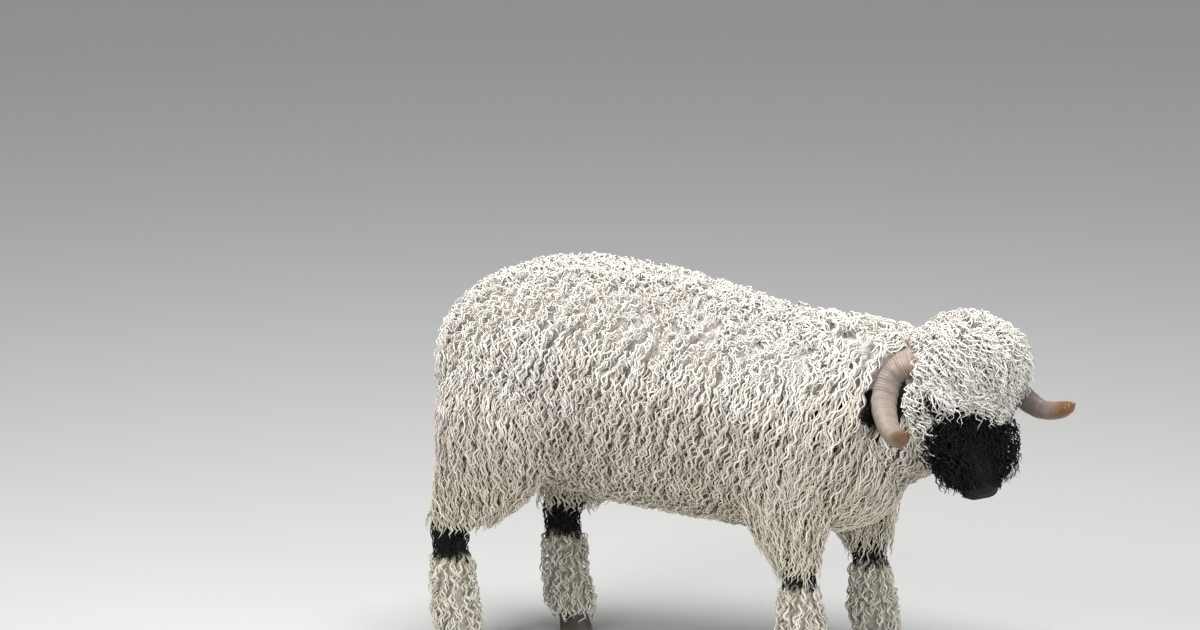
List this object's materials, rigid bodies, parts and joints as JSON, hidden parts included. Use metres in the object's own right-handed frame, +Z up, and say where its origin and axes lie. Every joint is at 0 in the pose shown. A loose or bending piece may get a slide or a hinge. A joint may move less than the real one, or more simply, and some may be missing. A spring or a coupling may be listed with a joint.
{
  "type": "valais blacknose sheep model",
  "caption": "Life-size still model of a horned, long-fleeced white sheep with a black face and hocks, standing with its head lowered and turned to its right.",
  "frame": {"origin": "on the ground, under the middle of the sheep's bounding box", "axes": "+X the way the body faces, +Y towards the sheep's left, +Z up; the soles are at z = 0"},
  "size_m": [1.3662, 0.5732, 0.7999],
  "materials": {
    "fleece": "curly off-white fleece",
    "crown_wool": "curly white wool",
    "black_wool": "short woolly black hair",
    "horn": "dull ringed horn",
    "eye": "wet dark brown eye",
    "claw": "dull dark hoof horn"
  },
  "bodies": {
    "root": {"claw_fore_left_inner": "claw", "claw_fore_left_outer": "claw", "claw_fore_right_inner": "claw", "claw_fore_right_outer": "claw", "claw_hind_left_inner": "claw", "claw_hind_left_outer": "claw", "claw_hind_right_inner": "claw", "claw_hind_right_outer": "claw", "crown": "crown_wool", "ear_left": "black_wool", "ear_right": "black_wool", "eye_left": "eye", "eye_right": "eye", "fore_shank_left": "fleece", "fore_shank_right": "fleece", "forearm_left": "fleece", "forearm_right": "fleece", "gaskin_left": "fleece", "gaskin_right": "fleece", "head": "black_wool", "hind_shank_left": "fleece", "hind_shank_right": "fleece", "hock_left": "black_wool", "hock_right": "black_wool", "horn_left": "horn", "horn_right": "horn", "knee_left": "black_wool", "knee_right": "black_wool", "neck": "fleece", "tail": "fleece", "torso": "fleece"}
  },
  "joints": []
}
